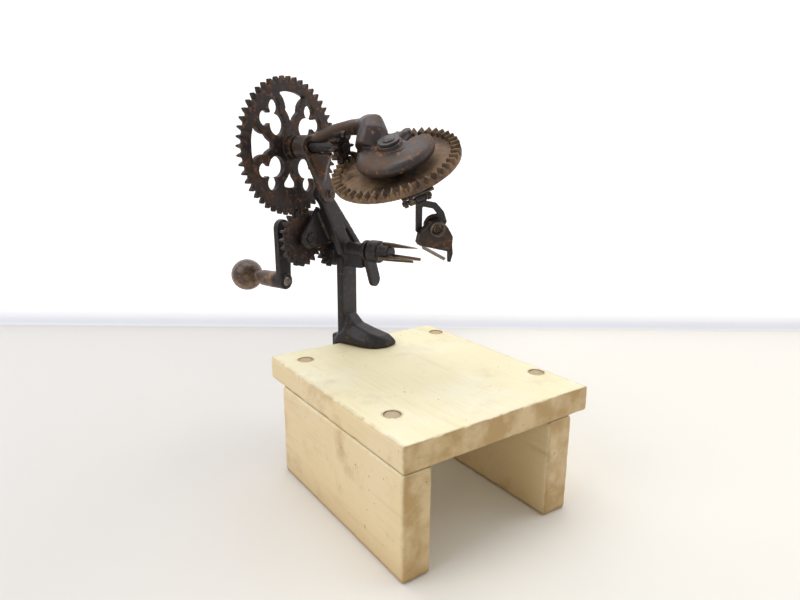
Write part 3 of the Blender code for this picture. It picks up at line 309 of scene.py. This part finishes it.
@dataclass(frozen=True)
class VarnishFinish:
    """Turned wood under old varnish, rubbed pale where hands hold it."""

    name: str
    varnish: Colour = (0.075, 0.036, 0.018)
    streak: Colour = (0.030, 0.016, 0.010)
    rubbed: Colour = (0.34, 0.20, 0.095)
    rubbed_share: float = 0.75
    roughness: float = 0.34
    bump: float = 0.15

    def material(self) -> bpy.types.Material:
        """Builds the material."""
        made, kit, shader = new_material(self.name)
        shader.inputs["Coat Weight"].default_value = 0.25
        shader.inputs["Coat Roughness"].default_value = 0.25
        where = kit.node("ShaderNodeTexCoord").outputs["Object"]
        turn = (0, 0, GRIP_TURN)
        turned = kit.node("ShaderNodeMapping", {"Vector": where, "Rotation": turn}).outputs[0]
        along = kit.node("ShaderNodeMapping", {"Vector": turned, "Scale": (0.12, 1.0, 1.0)}).outputs[0]
        grain = kit.noise(along, 700.0, 4.0)
        patch = kit.step(kit.noise(where, 85.0, 6.0), 0.46, 0.64)
        rubbed = kit.math("MULTIPLY", patch, self.rubbed_share)
        colour = kit.mix(kit.step(grain, 0.4, 0.7), self.varnish, self.streak)
        colour = kit.mix(rubbed, colour, self.rubbed)
        kit.tree.links.new(colour, shader.inputs["Base Color"])
        rough = kit.math("ADD", kit.math("MULTIPLY", rubbed, 0.3), self.roughness)
        kit.tree.links.new(rough, shader.inputs["Roughness"])
        add_bump(kit, shader, grain, self.bump)
        return made


Finish = IronFinish | PaintFinish | VarnishFinish


def shared(finish: Finish) -> bpy.types.Material:
    """Returns the finish's material, built the first time that it is asked for."""
    return bpy.data.materials.get(finish.name) or finish.material()


def new_material(name: str) -> tuple[bpy.types.Material, GroupKit, bpy.types.Node]:
    """Starts a node material and returns it, its kit and its shader."""
    made = bpy.data.materials.new(name)
    made.use_nodes = True
    return made, GroupKit(made.node_tree), made.node_tree.nodes["Principled BSDF"]


def set_inputs(node: bpy.types.Node, values: dict[str, float]) -> None:
    """Sets a node's input values by name."""
    for name, value in values.items():
        node.inputs[name].default_value = value


def add_bump(kit: GroupKit, shader: bpy.types.Node, height: bpy.types.NodeSocket, strength: float) -> None:
    """Feeds a height to the shader's normal."""
    inputs = {"Height": height, "Strength": strength, "Distance": 0.4 * MM}
    kit.tree.links.new(kit.node("ShaderNodeBump", inputs).outputs[0], shader.inputs["Normal"])


def piece_from(mesh: bpy.types.Mesh, name: str, material: bpy.types.Material) -> bpy.types.Object:
    """Puts a mesh in the scene as a smooth piece of one material.

    Args:
        mesh: the finished mesh, in place.
        name: the piece's name.
        material: its only material.

    Returns:
        The piece.
    """
    mesh.materials.clear()
    mesh.materials.append(material)
    mesh.shade_smooth()
    made = bpy.data.objects.new(name, mesh)
    bpy.context.scene.collection.objects.link(made)
    return made


def mesh_of(shell: bmesh.types.BMesh, name: str) -> bpy.types.Mesh:
    """Turns an edited shape into a new mesh and frees it."""
    mesh = bpy.data.meshes.new(name)
    shell.to_mesh(mesh)
    shell.free()
    return mesh


def draft_of(mesh: bpy.types.Mesh, name: str = "draft") -> bpy.types.Object:
    """Puts a mesh in the scene as an object that modifiers work on."""
    made = bpy.data.objects.new(name, mesh)
    bpy.context.scene.collection.objects.link(made)
    return made


def baked(obj: bpy.types.Object) -> bpy.types.Mesh:
    """Returns the object's mesh with its modifiers applied, and removes the object."""
    bpy.context.view_layer.update()
    graph = bpy.context.evaluated_depsgraph_get()
    mesh = bpy.data.meshes.new_from_object(obj.evaluated_get(graph))
    bpy.data.objects.remove(obj)
    return mesh


def settle(piece: bpy.types.Object, body: Body, slot: Slot, *nodes: str) -> None:
    """Attaches a piece to the body it rides on, hides the nodes that it stands for and logs it."""
    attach(piece, body.value)
    if nodes:
        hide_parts(*nodes)
    LOG.info("%s rides on %s: %d faces", piece.name, body.value, len(piece.data.polygons))


def axes_of(joint_name: str) -> tuple[Vector, Vector]:
    """Returns a joint's point and direction."""
    joint = next(joint for joint in frame["record"]["behaviour"]["joints"] if joint["name"] == joint_name)
    return Vector(joint["pos_m"]), Vector(joint["axis"]).normalized()


@dataclass
class Casting:
    """A casting: a node's shape with its edges softened as in a sand mould."""

    node: str
    body: Body
    slot: Slot
    finish: Finish
    voxel: float = 0.8 * MM
    passes: int = 3

    def build(self) -> bpy.types.Object:
        """Builds the piece and returns it."""
        mesh = frame["nodes"][self.node].data.copy()
        shell = bmesh.new()
        shell.from_mesh(mesh)
        bmesh.ops.remove_doubles(shell, verts=shell.verts, dist=0.001 * MM)
        shell.to_mesh(mesh)
        shell.free()
        draft = draft_of(mesh)
        remesh = draft.modifiers.new("mould", "REMESH")
        remesh.mode = "VOXEL"
        remesh.voxel_size = self.voxel
        soften = draft.modifiers.new("soften", "SMOOTH")
        soften.iterations = self.passes
        soften.factor = 0.5
        piece = piece_from(baked(draft), f"{self.node}_casting", shared(self.finish))
        settle(piece, self.body, self.slot, self.node)
        return piece


@dataclass
class WornBoard:
    """A board of the stand, with dents along its edges."""

    node: str
    finish: PaintFinish
    voxel: float = 1.6 * MM
    reach: float = 5 * MM
    depth: float = 0.55 * MM
    rounding: float = 1.2 * MM
    dent_scale: float = 140
    grit_scale: float = 420
    chip_scale: float = 60
    wave_scale: float = 18
    wave_depth: float = 0.05 * MM
    hole_gap: float = 0.25 * MM
    hole_depth: float = 16 * MM
    plugs: tuple[str, ...] = ()

    def _wear(self, mesh: bpy.types.Mesh) -> None:
        """Moves points near the edges inwards by uneven amounts."""
        low, high = (Vector(corner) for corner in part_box(self.node))
        middle = (low + high) / 2
        for vertex in mesh.vertices:
            place = vertex.co
            gaps = sorted(min(place[i] - low[i], high[i] - place[i]) for i in range(3))
            near = max(0.0, 1 - gaps[1] / self.reach)
            dents = noise.noise(place * self.dent_scale) * 0.5
            rough = dents + noise.noise(place * self.grit_scale) * 0.3 + 0.35
            chip = max(0.0, noise.noise(place * self.chip_scale + Vector((7, 3, 1))) - 0.25) * 3
            amount = near * near * self.depth * max(0.0, rough + chip)
            wave = noise.noise(place * self.wave_scale) * self.wave_depth
            vertex.co = place + (middle - place).normalized() * (amount + max(0.0, wave))

    def build(self) -> bpy.types.Object:
        """Builds the board and returns it."""
        low, high = (Vector(corner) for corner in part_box(self.node))
        shell = bmesh.new()
        bmesh.ops.create_cube(shell, size=1)
        bmesh.ops.scale(shell, vec=high - low, verts=shell.verts)
        bmesh.ops.translate(shell, vec=(low + high) / 2, verts=shell.verts)
        easing = {"offset": self.rounding, "segments": 2, "affect": "EDGES", "profile": 0.5}
        bmesh.ops.bevel(shell, geom=shell.edges, **easing)
        mesh = mesh_of(shell, self.node)
        draft = draft_of(mesh)
        remesh = draft.modifiers.new("grid", "REMESH")
        remesh.mode = "VOXEL"
        remesh.voxel_size = self.voxel
        mesh = baked(draft)
        self._wear(mesh)
        draft = draft_of(mesh)
        cutters = [self._hole(draft, plug) for plug in self.plugs]
        mesh = baked(draft)
        for cutter in cutters:
            bpy.data.objects.remove(cutter)
        piece = piece_from(mesh, f"{self.node}_painted", shared(self.finish))
        mesh.set_sharp_from_angle(angle=math.radians(50))
        settle(piece, Body.BASE, Slot.PAINT, self.node)
        return piece

    def _hole(self, draft: bpy.types.Object, plug: str) -> bpy.types.Object:
        """Cuts a plug's hole with a Boolean and returns the cutter."""
        low, high = (Vector(corner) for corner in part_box(plug))
        shell = bmesh.new()
        radius = (high.x - low.x) / 2 + self.hole_gap
        size = {"radius1": radius, "radius2": radius, "depth": self.hole_depth}
        bmesh.ops.create_cone(shell, cap_ends=True, segments=40, **size)
        place = (low + high) / 2 + Vector((0, 0, self.hole_depth / 4))
        bmesh.ops.translate(shell, vec=place, verts=shell.verts)
        cutter = draft_of(mesh_of(shell, "hole"), "hole")
        cutting = draft.modifiers.new("hole", "BOOLEAN")
        cutting.operation = "DIFFERENCE"
        cutting.solver = "EXACT"
        cutting.object = cutter
        return cutter


@dataclass
class Plug:
    """A filler plug with an uneven, slightly dished top."""

    node: str
    finish: PaintFinish
    rings: int = 7
    sides: int = 40
    dish: float = 0.5 * MM

    def build(self) -> bpy.types.Object:
        """Builds the plug and returns it."""
        low, high = (Vector(corner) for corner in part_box(self.node))
        centre = (low + high) / 2
        radius = (high.x - low.x) / 2
        shell = bmesh.new()
        hub = shell.verts.new((centre.x, centre.y, high.z - self.dish))
        rows = []
        for ring in range(1, self.rings + 1):
            size = radius * ring / self.rings
            row = []
            for side in range(self.sides):
                angle = math.tau * side / self.sides
                place = Vector((centre.x + size * math.cos(angle), centre.y + size * math.sin(angle), high.z))
                drop = self.dish * (0.6 + 0.7 * noise.noise(place * 500))
                place.z -= drop if ring < self.rings else 0.9 * MM
                row.append(shell.verts.new(place))
            rows.append(row)
        rows.append([shell.verts.new((point.co.x, point.co.y, low.z)) for point in rows[-1]])
        for side in range(self.sides):
            shell.faces.new((hub, rows[0][side], rows[0][(side + 1) % self.sides]))
        for inner, outer in zip(rows, rows[1:]):
            for side in range(self.sides):
                after = (side + 1) % self.sides
                shell.faces.new((inner[side], outer[side], outer[after], inner[after]))
        shell.faces.new(list(reversed(rows[-1])))
        bmesh.ops.recalc_face_normals(shell, faces=shell.faces)
        mesh = mesh_of(shell, self.node)
        piece = piece_from(mesh, f"{self.node}_filler", shared(self.finish))
        mesh.set_sharp_from_angle(angle=math.radians(45))
        settle(piece, Body.BASE, Slot.PLUG, self.node)
        return piece


@dataclass
class WireCoil:
    """A coil made by Geometry Nodes: a spring, or the thread of the clamp's screw."""

    name: str
    body: Body
    slot: Slot
    finish: IronFinish
    centre: Vector
    direction: Vector
    radius: float
    wire: float
    length: float
    turns: float
    nodes: tuple[str, ...] = ()

    @staticmethod
    def tree() -> bpy.types.NodeTree:
        """Builds the coil's node tree, or returns it if it is there."""
        if "wire coil" in bpy.data.node_groups:
            return bpy.data.node_groups["wire coil"]
        tree = bpy.data.node_groups.new("wire coil", "GeometryNodeTree")
        for label, kind in (
            ("Coil Radius", "NodeSocketFloat"),
            ("Wire Radius", "NodeSocketFloat"),
            ("Length", "NodeSocketFloat"),
            ("Turns", "NodeSocketFloat"),
            ("Finish", "NodeSocketMaterial"),
        ):
            tree.interface.new_socket(label, in_out="INPUT", socket_type=kind)
        tree.interface.new_socket("Geometry", in_out="OUTPUT", socket_type="NodeSocketGeometry")
        kit = GroupKit(tree)
        given = kit.node("NodeGroupInput").outputs
        spiral = {
            "Resolution": 28,
            "Rotations": given["Turns"],
            "Start Radius": given["Coil Radius"],
            "End Radius": given["Coil Radius"],
            "Height": given["Length"],
        }
        path = kit.node("GeometryNodeCurveSpiral", spiral).outputs[0]
        ring = {"Resolution": 10, "Radius": given["Wire Radius"]}
        section = kit.node("GeometryNodeCurvePrimitiveCircle", ring)
        swept = kit.node(
            "GeometryNodeCurveToMesh", {"Curve": path, "Profile Curve": section.outputs[0], "Fill Caps": True}
        )
        smooth = kit.node("GeometryNodeSetShadeSmooth", {"Geometry": swept.outputs[0]})
        real = kit.node("GeometryNodeRealizeInstances", {"Geometry": smooth.outputs[0]})
        paint = {"Geometry": real.outputs[0], "Material": given["Finish"]}
        dressed = kit.node("GeometryNodeSetMaterial", paint)
        kit.node("NodeGroupOutput", {"Geometry": dressed.outputs[0]})
        return tree

    def build(self) -> bpy.types.Object:
        """Builds the coil and returns it."""
        material = shared(self.finish)
        draft = draft_of(bpy.data.meshes.new("draft"))
        winding = draft.modifiers.new("winding", "NODES")
        winding.node_group = self.tree()
        values = {
            "Coil Radius": self.radius,
            "Wire Radius": self.wire,
            "Length": self.length,
            "Turns": self.turns,
            "Finish": material,
        }
        for item in winding.node_group.interface.items_tree:
            if item.in_out == "INPUT":
                winding[item.identifier] = values[item.name]
        mesh = baked(draft)
        turn = self.direction.to_track_quat("Z", "Y").to_matrix().to_4x4()
        start = self.centre - self.direction * self.length / 2
        mesh.transform(Matrix.Translation(start) @ turn)
        shell = bmesh.new()
        shell.from_mesh(mesh)
        bmesh.ops.recalc_face_normals(shell, faces=shell.faces)
        shell.to_mesh(mesh)
        shell.free()
        piece = piece_from(mesh, self.name, material)
        settle(piece, self.body, self.slot, *self.nodes)
        return piece


@dataclass
class Knob:
    """The turned handle: a collar, a neck and a ball, kept from its node and softened."""

    finish: VarnishFinish
    node: str = "crank_knob"
    sides: int = 72
    passes: int = 6
    voxel: float = 0.6 * MM

    def build(self) -> bpy.types.Object:
        """Builds the handle and returns it."""
        draft = Casting(self.node, Body.KNOB, Slot.VARNISH, self.finish, self.voxel, self.passes)
        return draft.build()


@dataclass
class Dressed:
    """A node that keeps its own shape and gets a finer finish."""

    node: str
    finish: IronFinish

    def build(self) -> None:
        """Dresses the node."""
        obj = frame["nodes"][self.node]
        for slot in obj.material_slots:
            slot.material = shared(self.finish)
        LOG.info("%s keeps its shape", self.node)


@dataclass
class Studio:
    """The camera, the floor and the lights."""

    eye: tuple[float, float, float] = (-0.1902, -0.2651, 0.2703)
    right: tuple[float, float, float] = (0.8188, -0.5741, 0.0071)
    up: tuple[float, float, float] = (0.1363, 0.2063, 0.9690)
    ahead: tuple[float, float, float] = (0.5577, 0.7924, -0.2471)
    lens: float = 27.23
    # painted light: the floor is coloured brighter towards the right front and darker towards the back left,
    # in place of uneven lighting
    floor_colour: Colour = (0.69, 0.67, 0.65)
    floor_painted_light: Colour = (0.87, 0.845, 0.79)
    # painted shade: a darker grey-blue band where the floor bends up into the wall
    bend_painted_shade: Colour = (0.60, 0.61, 0.66)
    wall_colour: Colour = (0.93, 0.93, 0.94)
    wall_distance: float = 0.886  # from the camera
    bend: float = 0.006
    lights: list[tuple[str, tuple, float, float]] = field(
        default_factory=lambda: [
            ("key", (-1.3, 0.1, 1.2), 1.1, 9.0),
            ("fill", (1.3, -0.9, 1.0), 1.2, 4.0),
            ("top", (0.2, 0.4, 1.7), 1.4, 17.0),
        ]
    )

    def corner(self) -> Vector:
        """Returns the stand's front left corner, from which the camera is set."""
        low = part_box("stand_board")[0]
        return Vector((low[0], low[1], 0))

    def build(self) -> None:
        """Builds the studio."""
        self._camera()
        self._sweep()
        for name, place, size, power in self.lights:
            self._light(name, Vector(place), size, power)
        world = bpy.data.worlds.new("room")
        world.use_nodes = True
        back = world.node_tree.nodes["Background"]
        back.inputs["Color"].default_value = (1.0, 0.99, 0.98, 1)
        back.inputs["Strength"].default_value = 0.46
        bpy.context.scene.world = world
        bpy.context.scene.view_settings.view_transform = "Standard"

    def _camera(self) -> None:
        """Sets the camera."""
        data = bpy.data.cameras.new("camera")
        data.lens = self.lens
        data.sensor_width = 36
        data.clip_start = 0.01
        camera = bpy.data.objects.new("camera", data)
        bpy.context.scene.collection.objects.link(camera)
        columns = Matrix((self.right, self.up, [-value for value in self.ahead])).transposed()
        camera.matrix_world = Matrix.Translation(self.corner() + Vector(self.eye)) @ columns.to_4x4()
        bpy.context.scene.camera = camera

    def _sweep(self) -> None:
        """Builds the floor that curves up into a wall behind the object, with painted light and shade on it.
        """
        ahead = Vector((self.ahead[0], self.ahead[1], 0)).normalized()
        side = Vector((-ahead.y, ahead.x, 0))
        start = (self.corner() + Vector(self.eye)).dot(ahead) + self.wall_distance
        profile = [(start - 3.0, 0.0)]
        for i in range(17):
            angle = math.pi / 2 * i / 16
            profile.append((start - self.bend * (1 - math.sin(angle)), self.bend * (1 - math.cos(angle))))
        profile.append((start, 3.0))
        shell = bmesh.new()
        rows = []
        for share in (-4.0, 4.0):
            rows.append(
                [shell.verts.new(ahead * x + side * share + Vector((0, 0, z))) for x, z in profile]
            )
        for i in range(len(profile) - 1):
            shell.faces.new((rows[0][i], rows[0][i + 1], rows[1][i + 1], rows[1][i]))
        mesh = mesh_of(shell, "sweep")
        made, kit, shader = new_material("plain_floor")
        where = kit.node("ShaderNodeTexCoord").outputs["Object"]
        split = kit.node("ShaderNodeSeparateXYZ", {0: where})
        across = kit.math("MULTIPLY", split.outputs["X"], -side.x)
        nearer = kit.math("MULTIPLY", split.outputs["Y"], -1.0)
        # painted light: brighter towards the right front
        bright = kit.step(kit.math("ADD", across, nearer), -0.25, 0.2)
        colour = kit.mix(bright, self.floor_colour, self.floor_painted_light)
        height = split.outputs["Z"]
        # painted shade along the bend
        colour = kit.mix(kit.step(height, 0.0, 0.003), colour, self.bend_painted_shade)
        colour = kit.mix(kit.step(height, 0.003, 0.04), colour, self.wall_colour)
        kit.tree.links.new(colour, shader.inputs["Base Color"])
        # painted light: the wall glows with its own colour though it is no lamp
        wall_painted_glow = kit.mix(kit.step(height, 0.0, 0.003), (0.0, 0.0, 0.0), colour)
        kit.tree.links.new(wall_painted_glow, shader.inputs["Emission Color"])
        shader.inputs["Emission Strength"].default_value = 0.45
        shader.inputs["Roughness"].default_value = 0.85
        piece_from(mesh, "sweep", made)

    def _light(self, name: str, place: Vector, size: float, power: float) -> None:
        """Adds a soft square light aimed at the object."""
        data = bpy.data.lights.new(name, "AREA")
        data.size = size
        data.energy = power
        light = bpy.data.objects.new(name, data)
        bpy.context.scene.collection.objects.link(light)
        light.location = place
        light.rotation_euler = (Vector((0, 0, 0.15)) - place).to_track_quat("-Z", "Y").to_euler()


@dataclass
class Stand:
    """The painted stand: a board on two legs, with filler plugs."""

    paint: PaintFinish = PaintFinish("cream_paint")
    filler: PaintFinish = PaintFinish(
        "grey_filler",
        coat=(0.56, 0.44, 0.26),
        faded=(0.50, 0.42, 0.29),
        stain=(0.22, 0.16, 0.10),
        stain_share=0.8,
        roughness=0.7,
    )

    def build(self) -> None:
        """Builds the stand's pieces."""
        plugs = tuple(name for name in frame["nodes"] if name.startswith("plug_"))
        WornBoard("stand_board", self.paint, plugs=plugs).build()
        for leg in ("left_leg", "right_leg"):
            WornBoard(leg, self.paint, voxel=1.8 * MM).build()
        for plug in plugs:
            Plug(plug, self.filler).build()


@dataclass
class Machine:
    """The parer's castings, shafts, springs and handle."""

    spring_wire: float = 0.5 * MM
    black: IronFinish = IronFinish("blackened_iron", cover=0.42, rust_share=0.35)
    rusty: IronFinish = IronFinish(
        "rusty_iron",
        skin=(0.033, 0.026, 0.026),
        brown=(0.088, 0.050, 0.034),
        rust=(0.27, 0.115, 0.05),
        edge=(0.42, 0.35, 0.29),
        cover=0.55,
        rust_share=0.6,
        patch_scale=60.0,
        edge_share=0.7,
    )
    slate: IronFinish = IronFinish(
        "slate_iron",
        skin=(0.074, 0.062, 0.060),
        brown=(0.105, 0.062, 0.040),
        rust=(0.36, 0.15, 0.055),
        cover=0.54,
        rust_share=0.8,
        patch_scale=40.0,
    )
    washer: IronFinish = IronFinish(
        "grey_iron",
        skin=(0.10, 0.094, 0.092),
        brown=(0.07, 0.052, 0.046),
        edge=(0.34, 0.31, 0.29),
        metallic=0.8,
    )
    tan: IronFinish = IronFinish(
        "tan_iron",
        skin=(0.095, 0.062, 0.042),
        brown=(0.24, 0.155, 0.09),
        rust=(0.36, 0.18, 0.075),
        edge=(0.66, 0.55, 0.41),
        cover=0.58,
        rust_share=0.6,
        patch_scale=38.0,
        edge_share=0.95,
    )
    brown: IronFinish = IronFinish(
        "brown_steel",
        skin=(0.095, 0.066, 0.045),
        brown=(0.060, 0.038, 0.028),
        rust=(0.26, 0.12, 0.055),
        edge=(0.52, 0.44, 0.34),
        metallic=0.75,
        edge_share=0.8,
    )
    bright: IronFinish = IronFinish(
        "rubbed_steel",
        skin=(0.20, 0.18, 0.16),
        brown=(0.12, 0.09, 0.07),
        rust=(0.33, 0.18, 0.09),
        edge=(0.72, 0.66, 0.58),
        roughness=(0.3, 0.62),
        metallic=0.85,
    )

    def castings(self) -> None:
        """Builds the cast pieces."""
        rusty, dark = Slot.RUSTY_IRON, Slot.DARK_IRON
        for casting in (
            Casting("main_frame", Body.BASE, dark, self.black, 0.8 * MM, 10),
            Casting("over_arm", Body.BASE, rusty, self.slate, 0.7 * MM, 14),
            Casting("main_wheel", Body.WHEEL, rusty, self.rusty, 0.6 * MM, 2),
            Casting("axle_pinion", Body.WHEEL, rusty, self.rusty, 0.45 * MM, 2),
            Casting("crank_gear", Body.CRANK, rusty, self.rusty, 0.5 * MM, 2),
            Casting("crank_arm", Body.CRANK, dark, self.black, 0.5 * MM, 3),
            Casting("fork_pinion", Body.FORK, rusty, self.rusty, 0.5 * MM, 2),
            Casting("fork_head", Body.FORK, dark, self.black, 0.5 * MM, 3),
            Casting("push_off_lever", Body.LEVER, dark, self.black, 0.5 * MM, 3),
            Casting("turntable", Body.TABLE, rusty, self.tan, 0.6 * MM, 2),
            Casting("knife_arm", Body.KNIFE_SWING, dark, self.black, 0.4 * MM, 3),
            Casting("knife_holder", Body.KNIFE_HEAD, rusty, self.rusty, 0.4 * MM, 3),
            Casting("knife_guard", Body.KNIFE_HEAD, rusty, self.rusty, 0.35 * MM, 3),
            Casting("clamp_screw", Body.SCREW, dark, self.black, 0.5 * MM, 3),
        ):
            casting.build()

    def small_parts(self) -> None:
        """Dresses the nodes that keep their shape."""
        prongs = ("upper_prong", "near_prong", "far_prong")
        rusty = ("knife_bracket", "knife_hinge_pin", "head_rivet", "frame_rivet")
        washer = ("pivot_washer", "pivot_rivet")
        bright = ("handle_spindle", "knife_blade")
        black = ("wheel_axle", "crank_shaft", "fork_shaft", "swivel_pad")
        for names, finish in (
            (prongs, self.brown),
            (rusty, self.rusty),
            (washer, self.washer),
            (bright, self.bright),
            (black, self.black),
        ):
            for name in names:
                Dressed(name, finish).build()

    def coils(self) -> None:
        """Winds the two springs and the screw's thread."""
        arm, head = Body.KNIFE_SWING, Body.KNIFE_HEAD
        for node, joint, body, radius, length, turns in (
            ("arm_spring", "knife_arm_swing", arm, 2.45 * MM, 3.4 * MM, 3.5),
            ("head_spring", "knife_head_tilt", head, 4.8 * MM, 2.2 * MM, 2.25),
        ):
            point, direction = axes_of(joint)
            low, high = (Vector(corner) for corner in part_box(node))
            middle = point + direction * ((low + high) / 2 - point).dot(direction)
            size = {"radius": radius, "wire": self.spring_wire, "length": length, "turns": turns}
            place = {"centre": middle, "direction": direction, "nodes": (node,)}
            WireCoil(f"{node}_wire", body, Slot.STEEL, self.brown, **place, **size).build()
        point, direction = axes_of("screw_turn")
        place = {"centre": point + direction * 22 * MM, "direction": direction}
        size = {"radius": 3.9 * MM, "wire": 0.35 * MM, "length": 34 * MM, "turns": 17}
        WireCoil("screw_thread", Body.SCREW, Slot.DARK_IRON, self.black, **place, **size).build()

    def build(self) -> None:
        """Builds and dresses the whole machine."""
        self.castings()
        self.small_parts()
        self.coils()
        Knob(VarnishFinish("brown_varnish")).build()


def main() -> None:
    """Builds everything in order."""
    logging.basicConfig(level=logging.INFO, format="%(name)s: %(message)s")
    Stand().build()
    Machine().build()
    Studio().build()


if __name__ == "__main__":
    main()
